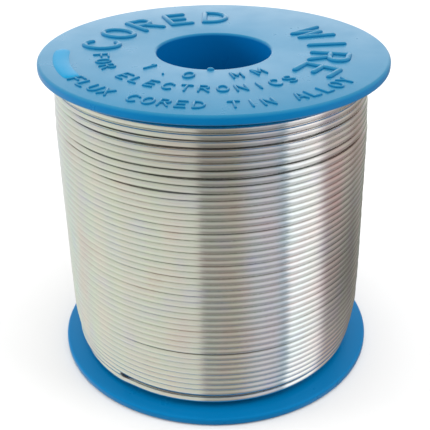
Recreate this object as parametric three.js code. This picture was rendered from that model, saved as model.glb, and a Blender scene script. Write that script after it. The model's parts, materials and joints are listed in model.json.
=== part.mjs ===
// A reel of flux-cored solder wire: a moulded reel (two flanges pressed into a barrel) that carries sixteen
// layers of 1 mm wire, with the wire's cut end lying in the groove beside the lower flange.
// Millimetres, +Z up along the reel's axis, origin at the centre of the lower flange's outer face.

import * as THREE from "three";

// ---- driving dimensions ----
const FLANGE_RADIUS = 27.5;
const REEL_HEIGHT = 53;
const FLANGE_RIM_THICKNESS = 1.45;
const FLANGE_ROOT_THICKNESS = 2.1;
const FLANGE_EDGE_ROUND = 0.55;
const BORE_RADIUS = 9;
const COLLAR_WALL = 1.15;
const COLLAR_DEPTH = 9;
const COLLAR_LEAD = 0.4; // chamfers at the collar's mouth and at the bore's edge
const BARREL_WALL = 1.3;
const WIRE_RADIUS = 0.5;
const FLUX_CORE_RADIUS = 0.17;
const LAYER_COUNT = 16;
const LAYER_STEP = 0.875;
const PRESS_GAP = 0.03; // between the collars and the barrel
const LAYER_GAP = 0.05; // between one layer of wire and the next, and the flanges
const CORE_GAP = 0.04; // between the flux and the alloy around it

// The turn that lies along the lower flange, and the wire's last stretch in the groove above it.
const FLANGE_TURN = { radius: 24.5, height: 2.74 };
const FREE_END = { radius: 24.35, height: 3.78, cutAngle: 230 };
const SHORT_LAYERS = 2; // outer layers that stop above the groove
const WINDING_FOOT = 4.45; // height where those layers stop
const LINK_COUNT = 5; // rigid links that stand for the bending free end
const LINK_ANGLE = 12; // degrees of the coil that each link covers
const LINK_GAP = 0.3; // clear space between two links
const RUN_IN_ANGLE = 100; // degrees of the coil from the winding to the first link

// ---- fineness of the round stretches, in flat steps ----
const SEGMENTS = 48; // every round piece about the axis
const WIRE_SIDES = 8; // round the wire
const EDGE_STEPS = 2; // each rounded edge of a rim
const RUN_IN_STEPS = 12; // along the run-in
const LINK_STEPS = 3; // along each link

const barrelInner = BORE_RADIUS + COLLAR_WALL + PRESS_GAP;
const barrelRadius = barrelInner + BARREL_WALL;
const windingInner = barrelRadius + LAYER_GAP;

const bluePlastic = new THREE.MeshStandardMaterial({ color: 0x0270af, roughness: 0.35, metalness: 0 });
const darkBluePlastic = new THREE.MeshStandardMaterial({ color: 0x0a559a, roughness: 0.4, metalness: 0 });
const solderAlloy = new THREE.MeshStandardMaterial({ color: 0xc8c9c4, roughness: 0.28, metalness: 1 });
const rosinFlux = new THREE.MeshStandardMaterial({ color: 0xc58a35, roughness: 0.3, metalness: 0 });

const radians = THREE.MathUtils.degToRad;
const reel = new THREE.Group();

function addPart(name, geometry, material) {
  const mesh = new THREE.Mesh(geometry, material);
  mesh.name = name;
  reel.add(mesh);
  return mesh;
}

// Turns a closed outline of [radius, height] points around +Z.
function revolve(outline, segments) {
  const points = outline.map(([radius, height]) => new THREE.Vector2(radius, height));
  points.push(points[0].clone());
  return new THREE.LatheGeometry(points, segments).rotateX(Math.PI / 2);
}

// The points of an arc in the [radius, height] plane, from one angle to another, both included.
function arcPoints(centre, radius, fromAngle, toAngle, steps) {
  return Array.from({ length: steps + 1 }, (_, i) => {
    const angle = radians(fromAngle + ((toAngle - fromAngle) * i) / steps);
    return [centre[0] + radius * Math.cos(angle), centre[1] + radius * Math.sin(angle)];
  });
}

// A flange with its outer face at height 0, its rounded rim, its inner face that thickens towards the
// barrel, and the collar that plugs into the barrel.
function flangeGeometry() {
  const rimCentre = FLANGE_RADIUS - FLANGE_EDGE_ROUND;
  const lowerCorner = arcPoints([rimCentre, FLANGE_EDGE_ROUND], FLANGE_EDGE_ROUND, -90, 0, EDGE_STEPS);
  const upperCentre = FLANGE_RIM_THICKNESS - FLANGE_EDGE_ROUND;
  const upperCorner = arcPoints([rimCentre, upperCentre], FLANGE_EDGE_ROUND, 0, 90, EDGE_STEPS);
  const collarRadius = BORE_RADIUS + COLLAR_WALL;
  return revolve(
    [
      [BORE_RADIUS + COLLAR_LEAD, 0],
      ...lowerCorner,
      ...upperCorner,
      [barrelRadius, FLANGE_ROOT_THICKNESS],
      [collarRadius, FLANGE_ROOT_THICKNESS],
      [collarRadius, COLLAR_DEPTH - COLLAR_LEAD],
      [collarRadius - COLLAR_LEAD, COLLAR_DEPTH],
      [BORE_RADIUS, COLLAR_DEPTH],
      [BORE_RADIUS, COLLAR_LEAD],
    ],
    SEGMENTS,
  );
}

function addFlanges() {
  addPart("lower_flange", flangeGeometry(), bluePlastic);
  const upper = addPart("upper_flange", flangeGeometry(), bluePlastic);
  upper.rotation.x = Math.PI;
  upper.position.z = REEL_HEIGHT;
}

function addBarrel() {
  const foot = FLANGE_ROOT_THICKNESS + PRESS_GAP;
  const head = REEL_HEIGHT - foot;
  const outline = [
    [barrelInner, foot],
    [barrelRadius, foot],
    [barrelRadius, head],
    [barrelInner, head],
  ];
  addPart("barrel", revolve(outline, SEGMENTS), darkBluePlastic);
}

// Thickness of a flange at a radius: its inner face is a shallow cone from the barrel to the rim.
function flangeThickness(radius) {
  const along = (radius - barrelRadius) / (FLANGE_RADIUS - FLANGE_EDGE_ROUND - barrelRadius);
  return THREE.MathUtils.lerp(FLANGE_ROOT_THICKNESS, FLANGE_RIM_THICKNESS, along);
}

// One layer of the coil, as a sleeve as thick as the layer. Its ends follow the flanges' faces.
function layerGeometry(index) {
  const inner = windingInner + index * LAYER_STEP;
  const outer = inner + LAYER_STEP - LAYER_GAP;
  const isShort = index >= LAYER_COUNT - SHORT_LAYERS;
  const footAt = (radius) => (isShort ? WINDING_FOOT : flangeThickness(radius) + LAYER_GAP);
  const headAt = (radius) => REEL_HEIGHT - flangeThickness(radius) - LAYER_GAP;
  const outline = [
    [inner, footAt(inner)],
    [outer, footAt(outer)],
    [outer, headAt(outer)],
    [inner, headAt(inner)],
  ];
  return revolve(outline, SEGMENTS);
}

function addLayers() {
  for (let index = 0; index < LAYER_COUNT; index++) {
    const number = String(index + 1).padStart(2, "0");
    addPart("wire_layer_" + number, layerGeometry(index), solderAlloy);
  }
}

function addFlangeTurn() {
  const { radius, height } = FLANGE_TURN;
  const outline = arcPoints([radius, height], WIRE_RADIUS, 0, 360, WIRE_SIDES).slice(0, -1);
  addPart("flange_turn", revolve(outline, SEGMENTS), solderAlloy);
}

// The centre line of the wire's last stretch, between two angles about the reel's axis.
class CoilArc extends THREE.Curve {
  constructor(startAngle, endAngle) {
    super();
    this.startAngle = radians(startAngle);
    this.endAngle = radians(endAngle);
  }

  getPoint(t, target = new THREE.Vector3()) {
    const angle = THREE.MathUtils.lerp(this.startAngle, this.endAngle, t);
    const x = FREE_END.radius * Math.cos(angle);
    const y = FREE_END.radius * Math.sin(angle);
    return target.set(x, y, FREE_END.height);
  }
}

// A round rod, or a tube if it has a hole, along the coil between two angles.
function wireGeometry(startAngle, endAngle, radius, holeRadius, steps) {
  const section = new THREE.Shape().absarc(0, 0, radius, 0, 2 * Math.PI, false);
  if (holeRadius) {
    section.holes.push(new THREE.Path().absarc(0, 0, holeRadius, 0, 2 * Math.PI, true));
  }
  return new THREE.ExtrudeGeometry(section, {
    extrudePath: new CoilArc(startAngle, endAngle),
    curveSegments: WIRE_SIDES,
    steps,
    bevelEnabled: false,
  });
}

// The wire's last stretch: a fixed run-in, then the links that lift off the coil, then the flux that
// shows at the cut end.
function addFreeEnd() {
  const halfGap = THREE.MathUtils.radToDeg(LINK_GAP / 2 / FREE_END.radius);
  const firstHinge = FREE_END.cutAngle - LINK_COUNT * LINK_ANGLE;
  const runInStart = firstHinge - RUN_IN_ANGLE;
  const runIn = wireGeometry(runInStart, firstHinge - halfGap, WIRE_RADIUS, 0, RUN_IN_STEPS);
  addPart("run_in_wire", runIn, solderAlloy);
  for (let index = 0; index < LINK_COUNT; index++) {
    const isLast = index === LINK_COUNT - 1;
    const start = firstHinge + index * LINK_ANGLE + halfGap;
    const end = firstHinge + (index + 1) * LINK_ANGLE - (isLast ? 0 : halfGap);
    const hole = isLast ? FLUX_CORE_RADIUS + CORE_GAP : 0;
    const name = isLast ? "free_end_tip" : "free_end_link_" + (index + 1);
    addPart(name, wireGeometry(start, end, WIRE_RADIUS, hole, LINK_STEPS), solderAlloy);
    if (isLast) {
      addPart("flux_core", wireGeometry(start, end, FLUX_CORE_RADIUS, 0, LINK_STEPS), rosinFlux);
    }
  }
}

addFlanges();
addBarrel();
addLayers();
addFlangeTurn();
addFreeEnd();

export default reel;
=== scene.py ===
"""The looks of a reel of flux-cored solder wire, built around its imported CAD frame.

Metres, +Z up along the reel's axis, and -Y is the front. Angles about the axis are in degrees from +X.
"""

import json
import math

import bmesh
import bpy
import numpy as np
from mathutils import Matrix, Vector


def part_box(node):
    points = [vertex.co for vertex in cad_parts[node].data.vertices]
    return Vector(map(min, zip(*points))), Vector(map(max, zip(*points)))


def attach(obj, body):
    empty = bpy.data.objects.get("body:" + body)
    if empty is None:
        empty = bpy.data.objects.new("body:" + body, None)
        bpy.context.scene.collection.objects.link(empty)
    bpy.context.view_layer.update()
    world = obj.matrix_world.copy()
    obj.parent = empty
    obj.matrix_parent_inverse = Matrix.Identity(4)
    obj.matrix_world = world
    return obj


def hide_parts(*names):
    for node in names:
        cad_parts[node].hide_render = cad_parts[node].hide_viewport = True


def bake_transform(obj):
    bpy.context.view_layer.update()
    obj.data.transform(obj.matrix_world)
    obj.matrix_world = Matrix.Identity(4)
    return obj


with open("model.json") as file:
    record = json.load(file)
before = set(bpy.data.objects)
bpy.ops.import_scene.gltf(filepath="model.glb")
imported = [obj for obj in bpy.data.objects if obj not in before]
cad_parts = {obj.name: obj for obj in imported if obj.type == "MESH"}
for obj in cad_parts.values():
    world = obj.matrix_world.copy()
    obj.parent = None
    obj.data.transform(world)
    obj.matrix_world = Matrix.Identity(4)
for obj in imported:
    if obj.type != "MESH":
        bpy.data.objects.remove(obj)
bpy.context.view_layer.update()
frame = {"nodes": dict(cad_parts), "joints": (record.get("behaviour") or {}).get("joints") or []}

MM = 0.001
FRONT = -90.0
BODY = "spool"

# ---- sizes, from the frame ----
FLANGE_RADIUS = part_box("lower_flange")[1].x
REEL_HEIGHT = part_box("upper_flange")[1].z
COLLAR_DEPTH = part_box("lower_flange")[1].z
BARREL_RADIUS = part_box("barrel")[1].x
BARREL_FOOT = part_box("barrel")[0].z
WIRE_RADIUS = (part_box("flange_turn")[1].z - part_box("flange_turn")[0].z) / 2
FLANGE_TURN_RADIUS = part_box("flange_turn")[1].x - WIRE_RADIUS
FLANGE_TURN_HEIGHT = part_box("flange_turn")[0].z + WIRE_RADIUS
FREE_END_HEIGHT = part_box("run_in_wire")[0].z + WIRE_RADIUS
HINGES = [Vector(joint["pos_m"]) for joint in frame["joints"]]
HINGE_ANGLES = [math.degrees(math.atan2(p.y, p.x)) % 360 for p in HINGES]
LINK_ANGLE = HINGE_ANGLES[1] - HINGE_ANGLES[0]
CUT_ANGLE = HINGE_ANGLES[-1] + LINK_ANGLE
FREE_END_RADIUS = HINGES[0].xy.length
LAYER_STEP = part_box("wire_layer_16")[1].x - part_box("wire_layer_15")[1].x
LAYER_NODES = sorted(node for node in frame["nodes"] if node.startswith("wire_layer_"))
LAYER_COUNT = len(LAYER_NODES)

# ---- the reel's mouldings ----
BORE_RADIUS = 9.0 * MM
RIM_THICKNESS = 1.45 * MM
ROOT_THICKNESS = 2.1 * MM
COLLAR_WALL = 1.15 * MM
BARREL_WALL = 1.3 * MM
BORE_FILLET = 0.45 * MM
RIM_OUTER_FILLET = 0.5 * MM
RIM_INNER_FILLET = 0.45 * MM
COLLAR_OUTER_FILLET = 0.35 * MM
COLLAR_INNER_FILLET = 0.2 * MM
FLANGE_SEGMENTS = 240
BARREL_SEGMENTS = 96

# ---- the raised marks and words ----
# Each row of words: name, text, radius, angles of its first and last letter, letter height, and whether
# the letters' tops point outwards.
WORDS = [
    ("raised_words_large", "CORED  WIRE", 18.2 * MM, 171.0, -34.0, 5.6 * MM, True),
    ("raised_words_inner", "1.0 MM", 12.4 * MM, -140.0, -58.0, 2.2 * MM, False),
    ("raised_words_middle", "FOR ELECTRONICS", 17.6 * MM, -171.0, -52.0, 2.2 * MM, False),
    ("raised_words_outer", "FLUX CORED TIN ALLOY", 23.7 * MM, -146.0, -38.0, 2.2 * MM, False),
]
LETTER_STROKE = 0.085  # half a stroke's width, as a share of the letter's height
LETTER_RELIEF = 0.42 * MM  # of a letter drawn in cells of 1 mm
LETTER_ARC_STEP = 15.0
MARK_RADIUS = 23.8 * MM
MARK_ANGLES = (181.0, 209.0)
MARK_ARC_STEP = 2.0
MARK_HALF_WIDTH = 1.25 * MM
GATE_RADIUS = 9.3 * MM
GATE_ANGLES = (-94.0, -92.0)
GATE_HALF_WIDTH = 0.4 * MM
MARK_RELIEF = 0.3 * MM

# A glyph is drawn in a cell of GLYPH_WIDTH by GLYPH_HEIGHT. A stroke is a line (x0, y0, x1, y1) or an arc
# (centre x, centre y, radius x, radius y, start, end).
GLYPH_WIDTH = 4
GLYPH_HEIGHT = 6
ROUND = (2, 3, 2.1, 3, 0, 360)
STEM = (0, 0, 0, 6)
GLYPHS = {
    "A": [(0, 0, 2, 6), (2, 6, 4, 0), (0.8, 2, 3.2, 2)],
    "C": [(2.2, 3, 2.2, 3, 45, 315)],
    "D": [STEM, (0, 0, 1, 0), (0, 6, 1, 6), (1, 3, 3, 3, -90, 90)],
    "E": [STEM, (0, 0, 3.6, 0), (0, 3, 3, 3), (0, 6, 3.6, 6)],
    "F": [STEM, (0, 3, 3, 3), (0, 6, 3.6, 6)],
    "I": [(2, 0, 2, 6)],
    "L": [STEM, (0, 0, 3.4, 0)],
    "M": [STEM, (0, 6, 2, 2), (2, 2, 4, 6), (4, 6, 4, 0)],
    "N": [STEM, (0, 6, 4, 0), (4, 0, 4, 6)],
    "O": [ROUND],
    "R": [STEM, (0, 3, 2, 3), (0, 6, 2, 6), (2, 4.5, 1.7, 1.5, -90, 90), (1.8, 3, 3.8, 0)],
    "S": [(2, 4.5, 1.8, 1.5, 30, 270), (2, 1.5, 1.8, 1.5, 90, -150)],
    "T": [(2, 0, 2, 6), (0, 6, 4, 6)],
    "U": [(0, 6, 0, 2), (4, 2, 4, 6), (2, 2, 2, 2, 180, 360)],
    "W": [(-0.6, 6, 0.8, 0), (0.8, 0, 2, 5), (2, 5, 3.2, 0), (3.2, 0, 4.6, 6)],
    "X": [(0, 0, 4, 6), (0, 6, 4, 0)],
    "Y": [(2, 0, 2, 3), (2, 3, 0, 6), (2, 3, 4, 6)],
    "0": [ROUND],
    "1": [(2, 0, 2, 6), (2, 6, 0.9, 5)],
    ".": [(1.9, 0.2, 2.1, 0.2)],
}

# ---- the coil ----
# The outermost layer: tight turns at the foot, then even turns, then loose ones under the upper flange.
TIGHT_TURNS = 8
TIGHT_PITCH = 1.03 * MM
EVEN_TURNS = 27
EVEN_PITCH = 1.0745 * MM
LOOSE_PITCHES = [pitch * MM for pitch in (1.33, 1.15, 1.03, 1.06, 1.18, 1.08, 1.04)]
FIRST_TURN_HEIGHT = 4.68 * MM  # at the front
CLIMB_START = 90.0  # angle at which the run-in leaves the groove
CLIMB_END = 50.0  # degrees before the front at which it is on the coil
LAST_TURN = 0.55  # turns that the wire goes on past its last full turn
LAST_RISE = 0.45 * MM
LAST_TUCK = 0.2  # turns over which its end goes under the coil
COIL_WIRE_RADIUS = 0.53 * MM  # so that the even turns lie close
GROOVE_HEAD = 4.4 * MM
OUTER_STEPS = 160  # of the outermost layer, in a turn

# Centre-line radius of the outermost turns, and how far they lie to the right, at four heights.
COIL_RADIUS_HEIGHTS = [5.0 * MM, 14.0 * MM, 41.0 * MM, 51.0 * MM]
COIL_RADII = [24.75 * MM, 24.87 * MM, 24.7 * MM, 24.23 * MM]
COIL_OFFSETS = [-0.1 * MM, -0.07 * MM, -0.4 * MM, -0.55 * MM]
FOOT_HEIGHTS = [4.6 * MM, 9.0 * MM]  # between which the coil's foot loses its oval
FOOT_OVAL = 0.6 * MM

# The layers inside.
INNER_STEPS = 40
SEEN_STEPS = 96  # of the layer that shows through the partings
INNER_START = 40.0
FIRST_LAYER_GAP = 0.05 * MM

# The turn along the lower flange starts and ends at the back, where its ends tuck under the coil.
FLANGE_TURN_START = 70.0
FLANGE_TURN_END = 442.0
FLANGE_TURN_STEPS = 190
FLANGE_TURN_LONG_AXIS = 262.0
FLANGE_TURN_OVAL = 0.4 * MM
FLANGE_TURN_PROUD = 0.1 * MM
FLANGE_TURN_CLIMB = 0.12 * MM  # to each side of its mean height
TUCK_ANGLE = 25.0
TUCK_DEPTH = 1.0 * MM
# Past the cut end the groove is empty, and the turn lifts into it.
LIFT_ANGLES = [CUT_ANGLE, CUT_ANGLE + 6, 330, 390]
LIFTS = [0, 0.32 * MM, 0.4 * MM, 0]

# The free end.
CUT_SQUEEZE = 0.9  # of the wire's radius, at the cut
CORE_RADIUS = 0.19 * MM
CORE_ANGLE = 4.0
CORE_PROUD = 0.02 * MM

# Places where the turns have parted: height, azimuth from the front, half-width of the parting in
# degrees, and how far it opens. A negative opening draws the turns together. PARTING_REACH is how far
# above and below the turns give way.
PARTING_REACH = 3 * MM
PARTINGS = [
    (12.6 * MM, -5.0, 72.0, 0.2 * MM),
    (40.7 * MM, -20.0, 16.0, 0.24 * MM),
    (42.6 * MM, -38.0, 22.0, -0.24 * MM),
    (42.6 * MM, 30.0, 9.0, -0.16 * MM),
    (44.0 * MM, -42.0, 22.0, 0.10 * MM),
    (47.1 * MM, -26.0, 20.0, 0.14 * MM),
    (48.3 * MM, -32.0, 24.0, 0.16 * MM),
    (47.1 * MM, 33.0, 9.0, 0.10 * MM),
    (30.0 * MM, 130.0, 30.0, 0.20 * MM),
    (22.0 * MM, 205.0, 24.0, 0.24 * MM),
    (38.0 * MM, 165.0, 30.0, 0.26 * MM),
    (46.5 * MM, 120.0, 40.0, 0.30 * MM),
]


# ---------------------------------------------------------------- mesh helpers


def add_object(name, mesh):
    piece = bpy.data.objects.new(name, mesh)
    bpy.context.scene.collection.objects.link(piece)
    return piece


def finish_mesh(mesh, sharp_angle):
    """Faces outwards, smooth shading, and edges over sharp_angle degrees kept crisp."""
    work = bmesh.new()
    work.from_mesh(mesh)
    bmesh.ops.recalc_face_normals(work, faces=work.faces)
    work.to_mesh(mesh)
    work.free()
    mesh.polygons.foreach_set("use_smooth", np.ones(len(mesh.polygons), bool))
    mesh.set_sharp_from_angle(angle=math.radians(sharp_angle))


def skin_faces(count, sides, closed):
    """The faces over rings of points. The rings close on themselves, or each end is capped."""
    ring, side = np.meshgrid(np.arange(count), np.arange(sides), indexing="ij")
    if not closed:
        ring, side = ring[:-1], side[:-1]
    next_ring = (ring + 1) % count
    next_side = (side + 1) % sides
    corners = [
        ring * sides + side,
        next_ring * sides + side,
        next_ring * sides + next_side,
        ring * sides + next_side,
    ]
    faces = np.stack(corners, axis=-1).reshape(-1, 4).tolist()
    if not closed:
        faces.append(list(range(sides)))
        faces.append(list(range((count - 1) * sides, count * sides))[::-1])
    return faces


def skin(name, rings, closed, sharp_angle=35.0):
    """A surface over rings of points, each ring a closed loop."""
    mesh = bpy.data.meshes.new(name)
    faces = skin_faces(rings.shape[0], rings.shape[1], closed)
    mesh.from_pydata(rings.reshape(-1, 3).tolist(), [], faces)
    finish_mesh(mesh, sharp_angle)
    return add_object(name, mesh)


def rounded_outline(corners, steps=6):
    """A closed outline through (radius, height, fillet) corners, with each corner rounded by its fillet."""
    points = []
    for index, (x, y, fillet) in enumerate(corners):
        here = Vector((x, y))
        before = Vector(corners[index - 1][:2]) - here
        after = Vector(corners[(index + 1) % len(corners)][:2]) - here
        half = before.angle(after) / 2
        if fillet == 0:
            points.append(here)
            continue
        reach = fillet / math.tan(half)
        bisector = (before.normalized() + after.normalized()).normalized()
        centre = here + bisector * fillet / math.sin(half)
        first = here + before.normalized() * reach - centre
        last = here + after.normalized() * reach - centre
        turn = first.angle_signed(last)
        for step in range(steps + 1):
            angle = -turn * step / steps
            spun = Matrix.Rotation(angle, 2) @ first
            points.append(centre + spun)
    return points


def lathe(name, outline, segments, sharp_angle=35.0):
    """Turns a closed outline of (radius, height) points about the reel's axis."""
    angles = np.linspace(0, 2 * np.pi, segments, endpoint=False)
    profile = np.array([(p[0], p[1]) for p in outline])
    rings = np.empty((segments, len(profile), 3))
    rings[:, :, 0] = np.cos(angles)[:, None] * profile[:, 0]
    rings[:, :, 1] = np.sin(angles)[:, None] * profile[:, 0]
    rings[:, :, 2] = profile[:, 1]
    return skin(name, rings, closed=True, sharp_angle=sharp_angle)


def wire(name, angles, radii, heights, sides, offsets=0.0, thickness=WIRE_RADIUS):
    """A round wire whose centre line runs through the given angles (degrees), radii and heights."""
    turn = np.radians(angles)[:, None]
    around = np.linspace(0, 2 * np.pi, sides, endpoint=False)[None, :]
    thickness = np.broadcast_to(thickness, np.shape(angles))[:, None]
    radius = np.asarray(radii)[:, None] + thickness * np.cos(around)
    rings = np.empty((len(angles), sides, 3))
    rings[:, :, 0] = radius * np.cos(turn) + np.broadcast_to(offsets, np.shape(angles))[:, None]
    rings[:, :, 1] = radius * np.sin(turn)
    rings[:, :, 2] = np.asarray(heights)[:, None] + thickness * np.sin(around)
    return skin(name, rings, closed=False)


# ---------------------------------------------------------------- materials


class Nodes:
    """A short way to write a node tree."""

    def __init__(self, tree):
        self.tree = tree
        self.tree.nodes.clear()

    def add(self, kind, inputs=None, **settings):
        node = self.tree.nodes.new(kind)
        for key, value in settings.items():
            setattr(node, key, value)
        for key, value in (inputs or {}).items():
            self.set(node, key, value)
        return node

    def set(self, node, key, value):
        if isinstance(value, bpy.types.NodeSocket):
            self.tree.links.new(value, node.inputs[key])
        else:
            node.inputs[key].default_value = value

    def math(self, operation, *values):
        node = self.add("ShaderNodeMath", operation=operation)
        for index, value in enumerate(values):
            self.set(node, index, value)
        return node.outputs[0]

    def mix(self, factor, first, second, blend_type="MIX"):
        node = self.add("ShaderNodeMix", data_type="RGBA", blend_type=blend_type)
        self.set(node, "Factor", factor)
        self.set(node, 6, first)
        self.set(node, 7, second)
        return node.outputs[2]

    def ramp(self, factor, stops, interpolation="LINEAR"):
        node = self.add("ShaderNodeValToRGB", {"Fac": factor})
        elements = node.color_ramp.elements
        node.color_ramp.interpolation = interpolation
        while len(elements) < len(stops):
            elements.new(1.0)
        for element, (position, colour) in zip(elements, stops):
            element.position = position
            element.color = colour
        return node.outputs["Color"]


def linear(red, green, blue):
    """An sRGB colour of 0 to 255 as linear RGBA."""
    values = [v / 255 for v in (red, green, blue)]
    return tuple(v / 12.92 if v <= 0.04045 else ((v + 0.055) / 1.055) ** 2.4 for v in values) + (1.0,)


def grey(value):
    return (value, value, value, 1.0)


def new_material(name):
    material = bpy.data.materials.new(name)
    material.use_nodes = True
    return material, Nodes(material.node_tree)


def moulded_plastic(name, colour, bore_shade_colour, painted_sheen_colour, roughness):
    """Glossy moulded plastic: slight colour flow, a fine orange-peel surface and a few handling marks.

    The colour is deeper in the bore, a painted shade for the light that passes from wall to wall, and paler
    on the upper face, a painted sheen for the light that the face catches from above.
    """
    material, nodes = new_material(name)
    place = nodes.add("ShaderNodeTexCoord").outputs["Object"]
    flat = nodes.add("ShaderNodeVectorMath", {0: place, 1: (1, 1, 0)}, operation="MULTIPLY").outputs[0]
    reach = nodes.add("ShaderNodeVectorMath", {0: flat}, operation="LENGTH").outputs["Value"]
    outside = nodes.math("DIVIDE", nodes.math("SUBTRACT", reach, BORE_RADIUS), COLLAR_WALL)
    flow = nodes.add("ShaderNodeTexNoise", {"Vector": place, "Scale": 60.0, "Detail": 3.0}).outputs[0]
    peel = nodes.add("ShaderNodeTexNoise", {"Vector": place, "Scale": 900.0, "Detail": 2.0}).outputs[0]
    smear = nodes.add("ShaderNodeTexNoise", {"Vector": place, "Scale": 220.0, "Detail": 6.0}).outputs[0]
    facing = nodes.add("ShaderNodeNewGeometry").outputs["Normal"]
    upward = nodes.add("ShaderNodeSeparateXYZ", {"Vector": facing}).outputs["Z"]
    height = nodes.add("ShaderNodeSeparateXYZ", {"Vector": place}).outputs["Z"]
    level = nodes.ramp(upward, [(0.1, grey(0.0)), (0.9, grey(1.0))])
    at_top = nodes.math("GREATER_THAN", height, REEL_HEIGHT - RIM_OUTER_FILLET)
    on_face = nodes.math("MULTIPLY", level, at_top)
    # painted shade: the colour deepens towards the bore
    tint = nodes.mix(nodes.math("MINIMUM", nodes.math("MAXIMUM", outside, 0.0), 1.0), bore_shade_colour, colour)
    # painted sheen: the upward-facing upper face is paler
    tint = nodes.mix(on_face, tint, painted_sheen_colour)
    tint = nodes.mix(flow, tint, grey(0.88), "MULTIPLY")
    rough = nodes.math("MULTIPLY_ADD", smear, 0.16, roughness - 0.08)
    bump = nodes.add("ShaderNodeBump", {"Height": peel, "Strength": 0.06, "Distance": 0.05 * MM})
    shader = nodes.add(
        "ShaderNodeBsdfPrincipled",
        {
            "Base Color": tint,
            "Roughness": rough,
            "IOR": 1.5,
            "Specular Tint": linear(90, 165, 215),
            "Normal": bump.outputs[0],
        },
    )
    nodes.add("ShaderNodeOutputMaterial", {"Surface": shader.outputs[0]})
    return material


# Painted light on the wire: painted shade under the upper flange, pinkish painted reflections high on the
# right and a darker painted reflection low on the right. Columns: azimuth from the front and its
# half-width in degrees, height and its half-height, and the colour that the alloy is multiplied by there.
WIRE_PAINTED_LIGHT = [
    # painted shade under the upper flange
    (-2.0, 34.0, 46.0 * MM, 6.5 * MM, grey(0.78)),
    # pinkish painted reflections high on the right
    (47.0, 6.0, 36.0 * MM, 6.0 * MM, (1.0, 0.86, 0.87, 1.0)),
    (60.0, 10.0, 43.0 * MM, 5.0 * MM, (1.0, 0.88, 0.87, 1.0)),
    # a darker painted reflection low on the right, where a dark panel would be mirrored
    (58.0, 16.0, 20.0 * MM, 18.0 * MM, grey(0.42)),
]


def with_painted_light(nodes, tint, place):
    """The alloy's colour with the painted shade and painted reflections over it."""
    axes = nodes.add("ShaderNodeSeparateXYZ", {"Vector": place})
    forwards = nodes.math("MULTIPLY", axes.outputs["Y"], -1.0)
    azimuth = nodes.math("DEGREES", nodes.math("ARCTAN2", axes.outputs["X"], forwards))
    for centre, half_width, height, half_height, colour in WIRE_PAINTED_LIGHT:
        aside = nodes.math("DIVIDE", nodes.math("SUBTRACT", azimuth, centre), half_width)
        above = nodes.math("DIVIDE", nodes.math("SUBTRACT", axes.outputs["Z"], height), half_height)
        away = nodes.math("ADD", nodes.math("POWER", aside, 2.0), nodes.math("POWER", above, 2.0))
        near = nodes.math("EXPONENT", nodes.math("MULTIPLY", away, -1.0))
        tint = nodes.mix(near, tint, colour, "MULTIPLY")
    return tint


def solder_metal(name):
    """Drawn tin alloy: bright, finely scored along the wire, with faint warm and cool patches, and painted
    shade and painted reflections over it.
    """
    material, nodes = new_material(name)
    place = nodes.add("ShaderNodeTexCoord").outputs["Object"]
    along = nodes.add("ShaderNodeMapping", {"Vector": place, "Scale": (60.0, 60.0, 1500.0)}).outputs[0]
    scores = nodes.add("ShaderNodeTexNoise", {"Vector": along, "Scale": 4.0, "Detail": 4.0}).outputs[0]
    patches = nodes.add("ShaderNodeTexNoise", {"Vector": place, "Scale": 160.0, "Detail": 2.0}).outputs[0]
    stops = [
        (0.32, linear(243, 238, 235)),
        (0.46, linear(243, 243, 240)),
        (0.56, linear(240, 243, 239)),
        (0.70, linear(239, 240, 245)),
    ]
    tint = with_painted_light(nodes, nodes.ramp(patches, stops), place)
    rough = nodes.math("MULTIPLY_ADD", scores, 0.10, 0.13)
    bump = nodes.add("ShaderNodeBump", {"Height": scores, "Strength": 0.15, "Distance": 0.01 * MM})
    tangent = nodes.add("ShaderNodeTangent", direction_type="RADIAL", axis="Z").outputs[0]
    shader = nodes.add(
        "ShaderNodeBsdfPrincipled",
        {
            "Base Color": tint,
            "Metallic": 1.0,
            "Roughness": rough,
            "Anisotropic": 0.85,
            "Anisotropic Rotation": 0.25,
            "Tangent": tangent,
            "Normal": bump.outputs[0],
        },
    )
    nodes.add("ShaderNodeOutputMaterial", {"Surface": shader.outputs[0]})
    return material


def rosin(name):
    """Amber rosin flux, slightly clear."""
    material, nodes = new_material(name)
    place = nodes.add("ShaderNodeTexCoord").outputs["Object"]
    cloud = nodes.add("ShaderNodeTexNoise", {"Vector": place, "Scale": 4000.0, "Detail": 3.0}).outputs[0]
    tint = nodes.mix(cloud, linear(214, 150, 62), linear(168, 98, 30))
    shader = nodes.add(
        "ShaderNodeBsdfPrincipled",
        {"Base Color": tint, "Roughness": 0.25, "Subsurface Weight": 0.2},
    )
    shader.inputs["Subsurface Radius"].default_value = (0.3 * MM, 0.15 * MM, 0.05 * MM)
    nodes.add("ShaderNodeOutputMaterial", {"Surface": shader.outputs[0]})
    return material


REEL_BLUE = linear(0, 103, 156)
# painted shade: the bore and the whole barrel take a deeper blue, for light passing from wall to wall
BORE_SHADED_BLUE = linear(0, 94, 156)
# painted highlight: the raised mark takes a lighter blue than the reel
MARK_HIGHLIGHT_TINT = linear(0, 128, 172)
# the last colour is a painted sheen for the upper face
BLUE = moulded_plastic("blue_plastic", REEL_BLUE, BORE_SHADED_BLUE, linear(34, 111, 146), 0.30)
BARREL_BLUE = moulded_plastic("barrel_plastic", BORE_SHADED_BLUE, BORE_SHADED_BLUE, BORE_SHADED_BLUE, 0.38)
MARK_HIGHLIGHT_BLUE = moulded_plastic("mark_plastic_painted_highlight", MARK_HIGHLIGHT_TINT, MARK_HIGHLIGHT_TINT, MARK_HIGHLIGHT_TINT, 0.45)
SOLDER = solder_metal("solder_alloy")
ROSIN = rosin("rosin_flux")


def paint(piece, material):
    piece.data.materials.clear()
    piece.data.materials.append(material)


# ---------------------------------------------------------------- the reel


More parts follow.
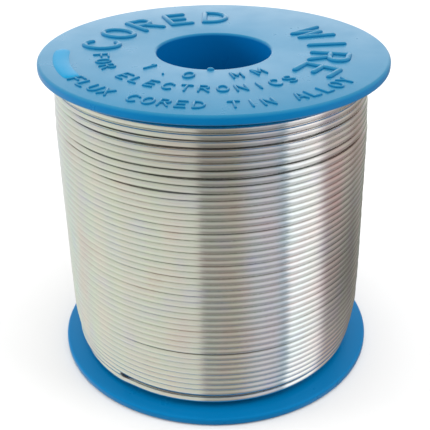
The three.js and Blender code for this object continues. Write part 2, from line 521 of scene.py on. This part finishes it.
def flange_outline():
    """A flange with its outer face at height 0: rounded rim, coned inner face and collar."""
    collar = BORE_RADIUS + COLLAR_WALL
    return rounded_outline(
        [
            (BORE_RADIUS, 0.0, BORE_FILLET),
            (FLANGE_RADIUS, 0.0, RIM_OUTER_FILLET),
            (FLANGE_RADIUS, RIM_THICKNESS, RIM_INNER_FILLET),
            (BARREL_RADIUS, ROOT_THICKNESS, 0.0),
            (collar, ROOT_THICKNESS, 0.0),
            (collar, COLLAR_DEPTH, COLLAR_OUTER_FILLET),
            (BORE_RADIUS, COLLAR_DEPTH, COLLAR_INNER_FILLET),
        ]
    )


def build_flanges():
    lower = lathe("lower_flange_moulding", flange_outline(), FLANGE_SEGMENTS)
    turned_over = [(r, REEL_HEIGHT - z) for r, z in flange_outline()]
    upper = lathe("upper_flange_moulding", turned_over, FLANGE_SEGMENTS)
    for piece, node in ((lower, "lower_flange"), (upper, "upper_flange")):
        paint(piece, BLUE)
        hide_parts(node)
        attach(piece, BODY)


def build_barrel():
    inner = BARREL_RADIUS - BARREL_WALL
    head = REEL_HEIGHT - BARREL_FOOT
    outline = [(inner, BARREL_FOOT), (BARREL_RADIUS, BARREL_FOOT), (BARREL_RADIUS, head), (inner, head)]
    tube = lathe("barrel_tube", outline, BARREL_SEGMENTS)
    paint(tube, BARREL_BLUE)
    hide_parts("barrel")
    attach(tube, BODY)


def stroke_points(stroke, arc_step=LETTER_ARC_STEP):
    """A stroke as points, with an arc in steps of about arc_step degrees."""
    if len(stroke) == 4:
        return np.array(stroke, float).reshape(2, 2)
    centre_x, centre_y, radius_x, radius_y, start, end = stroke
    count = 2 + int(abs(end - start) / arc_step)
    angles = np.radians(np.linspace(start, end, count))
    return np.stack([centre_x + radius_x * np.cos(angles), centre_y + radius_y * np.sin(angles)], axis=1)


def ridge_rings(points, half_width, relief, sides=12):
    """A raised ridge along flat points, round in section and at its two ends."""
    ahead = np.gradient(points, axis=0)
    ahead /= np.linalg.norm(ahead, axis=1)[:, None]
    tips = np.radians([80, 55, 28])  # the rings that close each round end
    first = [points[0] - ahead[0] * half_width * math.sin(t) for t in tips]
    last = [points[-1] + ahead[-1] * half_width * math.sin(t) for t in tips[::-1]]
    path = np.array(first + list(points) + last)
    ahead = np.pad(ahead, ((len(tips), len(tips)), (0, 0)), mode="edge")
    scale = np.concatenate([np.cos(tips), np.ones(len(points)), np.cos(tips[::-1])])[:, None]
    around = np.linspace(0, 2 * np.pi, sides, endpoint=False)[None, :]
    rings = np.empty((len(path), sides, 3))
    across = half_width * scale * np.cos(around)
    rings[:, :, 0] = path[:, :1] - ahead[:, 1:] * across
    rings[:, :, 1] = path[:, 1:] + ahead[:, :1] * across
    rings[:, :, 2] = relief * scale * np.sin(around)
    return rings


def add_ridges(name, ridges, material=BLUE):
    """One piece from several ridges, moulded on the upper flange's face."""
    points = []
    faces = []
    for rings in ridges:
        count, sides = rings.shape[:2]
        faces += [[index + len(points) for index in face] for face in skin_faces(count, sides, False)]
        points += rings.reshape(-1, 3).tolist()
    mesh = bpy.data.meshes.new(name)
    mesh.from_pydata(points, [], faces)
    finish_mesh(mesh, 50.0)
    piece = add_object(name, mesh)
    piece.data.transform(Matrix.Translation((0, 0, REEL_HEIGHT)))
    paint(piece, material)
    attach(piece, BODY)


def build_words(name, text, radius, first_angle, last_angle, height, tops_outward):
    """Raised words spread evenly along an arc of the upper flange's face."""
    scale = height / GLYPH_HEIGHT
    relief = LETTER_RELIEF * math.sqrt(scale / MM)
    ridges = []
    for letter, angle in zip(text, np.radians(np.linspace(first_angle, last_angle, len(text)))):
        outward = np.array([math.cos(angle), math.sin(angle)])
        up = outward if tops_outward else -outward
        right = np.array([up[1], -up[0]])
        for stroke in GLYPHS.get(letter, []):
            local = (stroke_points(stroke) - (GLYPH_WIDTH / 2, GLYPH_HEIGHT / 2)) * scale
            points = outward * radius + local[:, :1] * right + local[:, 1:] * up
            ridges.append(ridge_rings(points, LETTER_STROKE * height, relief))
    add_ridges(name, ridges)


def arc_stroke(radius, angles):
    """A stroke along an arc about the reel's axis."""
    return (0, 0, radius, radius, *angles)


def build_marks():
    """The plain mark at the left, coloured a lighter blue as a painted highlight, and the moulding gate at
    the bore's edge.
    """
    mark = stroke_points(arc_stroke(MARK_RADIUS, MARK_ANGLES), MARK_ARC_STEP)
    gate = stroke_points(arc_stroke(GATE_RADIUS, GATE_ANGLES))
    add_ridges("raised_mark", [ridge_rings(mark, MARK_HALF_WIDTH, MARK_RELIEF)], MARK_HIGHLIGHT_BLUE)
    add_ridges("moulding_gate", [ridge_rings(gate, GATE_HALF_WIDTH, MARK_RELIEF)])


# ---------------------------------------------------------------- the coil


def coil_radius(angles, heights):
    """Centre-line radius of the outermost turns. The coil's foot is slightly narrower from side to side."""
    sideways = np.sin(np.radians(angles - FRONT)) ** 2
    narrowing = np.interp(heights, FOOT_HEIGHTS, [FOOT_OVAL, 0.0])
    return np.interp(heights, COIL_RADIUS_HEIGHTS, COIL_RADII) - narrowing * sideways


def coil_offset(heights):
    """How far the turns lie to the right of the reel's axis."""
    return np.interp(heights, COIL_RADIUS_HEIGHTS, COIL_OFFSETS)


def ease(share):
    """A share from 0 to 1, with a soft start and end."""
    return share * share * (3 - 2 * share)


def half_turned(angles):
    """Angles as -180 to 180 degrees."""
    return (np.asarray(angles) + 180) % 360 - 180


def smoothed(values, width):
    """Values averaged with their neighbours, under a bell of the given width."""
    window = np.hanning(width)
    padded = np.pad(values, width // 2, mode="edge")
    means = np.convolve(padded, window / window.sum(), mode="same")
    return means[width // 2 : width // 2 + len(values)]


def smooth_noise(positions, seed, amplitude):
    """Smooth random values along the wire, with a new value at each whole position."""
    source = np.random.default_rng(seed)
    count = int(np.max(positions)) + 4
    values = source.uniform(-1, 1, count)
    whole = np.floor(positions).astype(int)
    blend = ease(positions - whole)
    return amplitude * (values[whole] * (1 - blend) + values[whole + 1] * blend)


def parting_shift(angles, heights):
    """How far each point of the coil moves up or down where the turns have parted."""
    azimuth = half_turned(angles - FRONT)
    shift = np.zeros_like(heights)
    for height, centre, half_width, opening in PARTINGS:
        aside = half_turned(azimuth - centre)
        near = np.exp(-((aside / half_width) ** 2))
        away = heights - height
        shift += opening / 2 * near * np.sign(away) * np.exp(-np.abs(away) / PARTING_REACH)
    return shift


def layer_radius(number, angles, heights):
    """Centre-line radius of a layer, from straight on the barrel to the coil's outer shape."""
    share = (number - 1) / (LAYER_COUNT - 1)
    first = BARREL_RADIUS + WIRE_RADIUS + FIRST_LAYER_GAP
    return first + share * (coil_radius(angles, heights) - first)


def outer_coil_course(start):
    """Where the outermost wire goes: turns from the start of its run-in, and its height there."""
    pitches = [TIGHT_PITCH] * TIGHT_TURNS + [EVEN_PITCH] * EVEN_TURNS + LOOSE_PITCHES
    run_in = (start - CLIMB_START) / 360
    climbed = (start - FRONT - CLIMB_END) / 360
    first_front = (start - FRONT) / 360
    knots = [0.0, run_in, climbed] + [first_front + turn for turn in range(len(pitches) + 1)]
    levels = [FREE_END_HEIGHT, FREE_END_HEIGHT, FIRST_TURN_HEIGHT - TIGHT_PITCH * CLIMB_END / 360]
    levels += list(FIRST_TURN_HEIGHT + np.concatenate([[0.0], np.cumsum(pitches)]))
    knots.append(knots[-1] + LAST_TURN)
    levels.append(levels[-1] + LAST_RISE)
    return knots, levels


def build_outer_coil():
    """The outermost layer with its run-in from the groove: one wire that climbs from the lower flange."""
    start = HINGE_ANGLES[0] - LINK_ANGLE / 2
    knots, levels = outer_coil_course(start)
    run_in, climbed = knots[1:3]
    turns = np.arange(0, int(knots[-1] * OUTER_STEPS) + 1) / OUTER_STEPS
    angles = start - 360 * turns
    heights = smoothed(np.interp(turns, knots, levels), OUTER_STEPS // 3)
    on_coil = ease(np.clip((turns - run_in) / (climbed - run_in), 0, 1))
    tucked = ease(np.clip((turns - knots[-1]) / LAST_TUCK + 1, 0, 1))
    wander = smooth_noise(turns * 7, seed=11, amplitude=0.05 * MM) * on_coil - tucked * LAYER_STEP
    radii = FREE_END_RADIUS * (1 - on_coil) + coil_radius(angles, heights) * on_coil + wander
    offsets = coil_offset(heights) * on_coil
    thickness = WIRE_RADIUS + (COIL_WIRE_RADIUS - WIRE_RADIUS) * on_coil
    waver = smooth_noise(turns * 9, seed=12, amplitude=0.02 * MM)
    heights = heights + on_coil * (waver + parting_shift(angles, heights))
    coil = wire("outer_coil", angles, radii, heights, 12, offsets, thickness)
    paint(coil, SOLDER)
    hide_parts(LAYER_NODES[-1], "run_in_wire")
    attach(coil, BODY)


def inner_radius(number, angles, heights, rise):
    """Centre-line radius of an inner layer. Its foot lies under the flange turn and the free end."""
    floor_heights = [FLANGE_TURN_HEIGHT + WIRE_RADIUS / 2, FREE_END_HEIGHT - WIRE_RADIUS / 2]
    under_turn = FLANGE_TURN_RADIUS - 2 * FLANGE_TURN_OVAL - 2 * WIRE_RADIUS
    under_free_end = FREE_END_RADIUS - 2 * WIRE_RADIUS
    floor = np.interp(heights, floor_heights, [under_turn, under_free_end])
    radii = layer_radius(number, angles, heights)
    return np.minimum(radii, floor) * (1 - rise) + radii * rise


def build_inner_layers():
    """The layers under the outermost one. Each climbs the other way from the one on top of it."""
    foot = ROOT_THICKNESS + WIRE_RADIUS
    head = REEL_HEIGHT - ROOT_THICKNESS - WIRE_RADIUS
    for number in range(1, LAYER_COUNT):
        is_seen = number == LAYER_COUNT - 1
        steps = SEEN_STEPS if is_seen else INNER_STEPS
        turns = np.arange(0, int((head - foot) / EVEN_PITCH * steps)) / steps
        heights = foot + turns * EVEN_PITCH
        hand = 1 if (LAYER_COUNT - number) % 2 else -1
        angles = INNER_START + hand * 360 * turns
        rise = np.clip((heights - GROOVE_HEAD) / WIRE_RADIUS, 0, 1)
        wander = smooth_noise(turns * 5, seed=20 + number, amplitude=0.04 * MM)
        radii = inner_radius(number, angles, heights, rise) + wander
        offsets = coil_offset(heights) * rise * number / LAYER_COUNT
        name = f"wound_layer_{number:02d}"
        layer = wire(name, angles, radii, heights, 8 if is_seen else 6, offsets)
        paint(layer, SOLDER)
        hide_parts(LAYER_NODES[number - 1])
        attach(layer, BODY)


def build_flange_turn():
    """The turn that lies along the lower flange, a little oval and lifted past the cut end."""
    angles = np.linspace(FLANGE_TURN_START, FLANGE_TURN_END, FLANGE_TURN_STEPS)
    from_end = np.minimum(angles - FLANGE_TURN_START, FLANGE_TURN_END - angles)
    tuck = np.clip(1 - from_end / TUCK_ANGLE, 0, 1)
    sideways = np.sin(np.radians(angles - FLANGE_TURN_LONG_AXIS)) ** 2
    radii = FLANGE_TURN_RADIUS + FLANGE_TURN_PROUD - 2 * FLANGE_TURN_OVAL * sideways
    radii = radii - TUCK_DEPTH * tuck * tuck
    climb = np.linspace(-FLANGE_TURN_CLIMB, FLANGE_TURN_CLIMB, len(angles))
    waver = smooth_noise(angles / 40, seed=31, amplitude=0.03 * MM)
    heights = FLANGE_TURN_HEIGHT + climb + np.interp(angles, LIFT_ANGLES, LIFTS) + waver
    turn = wire("last_flange_turn", angles, radii, heights, 14)
    paint(turn, SOLDER)
    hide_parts("flange_turn")
    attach(turn, BODY)


def build_free_end():
    """The wire's last stretch: a piece round each hinge, each in place of a link of the frame."""
    nodes = [f"free_end_link_{number}" for number in range(1, len(HINGES))] + ["free_end_tip"]
    for index, hinge_angle in enumerate(HINGE_ANGLES):
        is_last = index == len(HINGE_ANGLES) - 1
        first = hinge_angle - LINK_ANGLE / 2
        last = CUT_ANGLE if is_last else hinge_angle + LINK_ANGLE / 2
        angles = np.linspace(first, last, 28 if is_last else 19)
        count = len(angles)
        thickness = np.full(count, WIRE_RADIUS)
        if is_last:
            thickness[-1] = WIRE_RADIUS * CUT_SQUEEZE
        radii = np.full(count, FREE_END_RADIUS)
        heights = np.full(count, FREE_END_HEIGHT)
        piece = wire(f"free_end_wire_{index + 1}", angles, radii, heights, 20, thickness=thickness)
        paint(piece, SOLDER)
        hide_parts(nodes[index])
        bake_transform(piece)


def build_flux_core():
    """The rosin that shows at the cut end."""
    past_the_cut = math.degrees(CORE_PROUD / FREE_END_RADIUS)
    angles = np.linspace(CUT_ANGLE - CORE_ANGLE, CUT_ANGLE + past_the_cut, 8)
    count = len(angles)
    radii = np.full(count, FREE_END_RADIUS)
    heights = np.full(count, FREE_END_HEIGHT)
    core = wire("rosin_core", angles, radii, heights, 16, thickness=CORE_RADIUS)
    paint(core, ROSIN)
    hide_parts("flux_core")
    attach(core, frame["joints"][-1]["child"])


# ---------------------------------------------------------------- the studio

# What stands round the reel and is mirrored by it, as upright panels: the angles of a panel's left and
# right edges and its colour at each edge. An angle is that of the surface which mirrors the edge to the
# camera, from the front and positive to the right. The upper flange mirrors the ground behind.
STUDIO_PANELS = [
    (-180, -100, (255, 255, 255), (245, 245, 245)),  # bright ground behind, on the left
    (-90, -70, (175, 175, 175), (160, 165, 160)),  # pale wall on the left
    (-45, -5, (165, 165, 155), (155, 155, 145)),  # the wall's nearer part, warmer
    (-4, 8, (130, 130, 125), (135, 130, 120)),  # the viewer, who stands in front of the light
    (17, 24, (155, 155, 160), (155, 155, 160)),  # the wall between the viewer and the window
    (27, 28, (130, 145, 155), (130, 145, 155)),  # the window's frame
    (29, 42, (205, 210, 215), (210, 205, 205)),  # the window
    (47, 60, (155, 145, 145), (150, 145, 140)),  # wall on the right
    (66, 82, (135, 130, 125), (135, 135, 130)),  # the wall's farther part, darker
    (90, 100, (180, 180, 180), (245, 245, 245)),  # bright ground behind, on the right
    (180, 180, (255, 255, 255), (255, 255, 255)),
]
# What reflections see below the horizon, as a share of the band above it.
UNDER_LEFT = 1.1
UNDER_RIGHT = 0.6
STUDIO_GAIN = 1.8
DAYLIGHT_GAIN = 2.45
CLUTTER = 0.25  # how much the bands vary, as a lived-in room would make them
BACKGROUND = grey(1.0)
FLOOR_COLOUR = grey(0.64)
FLOOR_REACH = 4.0
FLOOR_DROP = 0.02 * MM
CAMERA_PITCH = 28.966
CAMERA_ROLL = -0.44
CAMERA_PLACE = Vector((0, -4.612, 3.400)) * FLANGE_RADIUS
CAMERA_LENS = 69.4
CAMERA_SENSOR = 36.0


def studio_bands(nodes, direction):
    """The band of light or shade that a surface mirrors, by the azimuth that it faces."""
    pitch = math.radians(CAMERA_PITCH)
    to_camera = (0, -math.cos(pitch), math.sin(pitch))
    halfway = nodes.add("ShaderNodeVectorMath", {0: direction, 1: to_camera}, operation="ADD").outputs[0]
    facing = nodes.add("ShaderNodeSeparateXYZ", {"Vector": halfway})
    backwards = nodes.math("MULTIPLY", facing.outputs["Y"], -1.0)
    azimuth = nodes.math("ARCTAN2", facing.outputs["X"], backwards)
    share = nodes.math("MULTIPLY_ADD", azimuth, 0.5 / math.pi, 0.5)
    stops = []
    for left, right, left_colour, right_colour in STUDIO_PANELS:
        stops += [((left + 180) / 360, linear(*left_colour)), ((right + 180) / 360, linear(*right_colour))]
    under = [(0.0, grey(UNDER_LEFT)), (0.48, grey(UNDER_LEFT)), (0.49, grey(UNDER_RIGHT))]
    return azimuth, nodes.ramp(share, stops), nodes.ramp(share, under)


def build_world():
    """Soft light from above, a white backdrop, and bands of light and shade that only reflections see."""
    world = bpy.data.worlds.new("studio")
    bpy.context.scene.world = world
    world.use_nodes = True
    nodes = Nodes(world.node_tree)
    direction = nodes.add("ShaderNodeTexCoord").outputs["Generated"]
    azimuth, bands, under = studio_bands(nodes, direction)
    level = nodes.add("ShaderNodeSeparateXYZ", {"Vector": direction}).outputs["Z"]
    height = nodes.math("MULTIPLY_ADD", level, 0.5, 0.5)
    place = nodes.add("ShaderNodeCombineXYZ", {"X": azimuth, "Z": nodes.math("MULTIPLY", level, 0.2)})
    clutter = nodes.add("ShaderNodeTexNoise", {"Vector": place.outputs[0], "Scale": 9.0, "Detail": 3.0})
    bands = nodes.mix(CLUTTER, bands, clutter.outputs["Color"], "SOFT_LIGHT")
    above = nodes.ramp(height, [(0.36, grey(0.0)), (0.56, grey(1.0))])
    shading = nodes.mix(above, under, grey(1.0))
    mirrored = nodes.mix(1.0, bands, shading, "MULTIPLY")
    mirrored = nodes.mix(1.0, mirrored, grey(STUDIO_GAIN), "MULTIPLY")
    daylight = nodes.ramp(height, [(0.5, grey(0.1)), (1.0, grey(1.0))])
    daylight = nodes.mix(1.0, daylight, grey(DAYLIGHT_GAIN), "MULTIPLY")
    path = nodes.add("ShaderNodeLightPath")
    seen = nodes.mix(path.outputs["Is Glossy Ray"], daylight, mirrored)
    seen = nodes.mix(path.outputs["Is Camera Ray"], seen, BACKGROUND)
    backdrop = nodes.add("ShaderNodeBackground", {"Color": seen, "Strength": 1.0})
    nodes.add("ShaderNodeOutputWorld", {"Surface": backdrop.outputs[0]})


def build_floor():
    mesh = bpy.data.meshes.new("floor")
    corners = [(x * FLOOR_REACH, y * FLOOR_REACH, 0) for x, y in ((-1, -1), (1, -1), (1, 1), (-1, 1))]
    mesh.from_pydata(corners, [], [(0, 1, 2, 3)])
    floor = add_object("floor", mesh)
    material, nodes = new_material("pale_floor")
    shader = nodes.add("ShaderNodeBsdfPrincipled", {"Base Color": FLOOR_COLOUR, "Roughness": 0.9})
    nodes.add("ShaderNodeOutputMaterial", {"Surface": shader.outputs[0]})
    mesh.materials.append(material)
    floor.visible_glossy = False
    floor.location.z = -FLOOR_DROP


def add_area_light(name, place, size, power):
    light = bpy.data.lights.new(name, "AREA")
    light.shape = "DISK"
    light.size = size
    light.energy = power
    lamp = bpy.data.objects.new(name, light)
    bpy.context.scene.collection.objects.link(lamp)
    lamp.location = place
    aim = Vector((0, 0, REEL_HEIGHT / 2)) - Vector(place)
    lamp.rotation_euler = aim.to_track_quat("-Z", "Y").to_euler()
    lamp.visible_glossy = False


def build_lights():
    add_area_light("key", (0.75, -0.2, 0.75), 0.5, 3.0)
    add_area_light("fill", (-0.9, 0.0, 0.2), 0.4, 4.5)


def build_camera():
    """Looks down on the reel, a little tilted."""
    data = bpy.data.cameras.new("camera")
    data.sensor_width = CAMERA_SENSOR
    data.lens = CAMERA_LENS
    data.clip_start = 0.005
    data.clip_end = 20.0
    camera = bpy.data.objects.new("camera", data)
    bpy.context.scene.collection.objects.link(camera)
    pitch = math.radians(CAMERA_PITCH)
    roll = math.radians(CAMERA_ROLL)
    forward = Vector((0, math.cos(pitch), -math.sin(pitch)))
    right = Vector((1, 0, 0))
    up = right.cross(forward)
    tilted_right = right * math.cos(roll) + up * math.sin(roll)
    tilted_up = up * math.cos(roll) - right * math.sin(roll)
    axes = Matrix((tilted_right, tilted_up, -forward)).transposed()
    camera.matrix_world = Matrix.Translation(CAMERA_PLACE) @ axes.to_4x4()
    bpy.context.scene.camera = camera


bpy.context.scene.view_settings.view_transform = "Standard"
build_flanges()
build_barrel()
for words in WORDS:
    build_words(*words)
build_marks()
build_outer_coil()
build_flange_turn()
build_inner_layers()
build_free_end()
build_flux_core()
build_world()
build_floor()
build_lights()
build_camera()
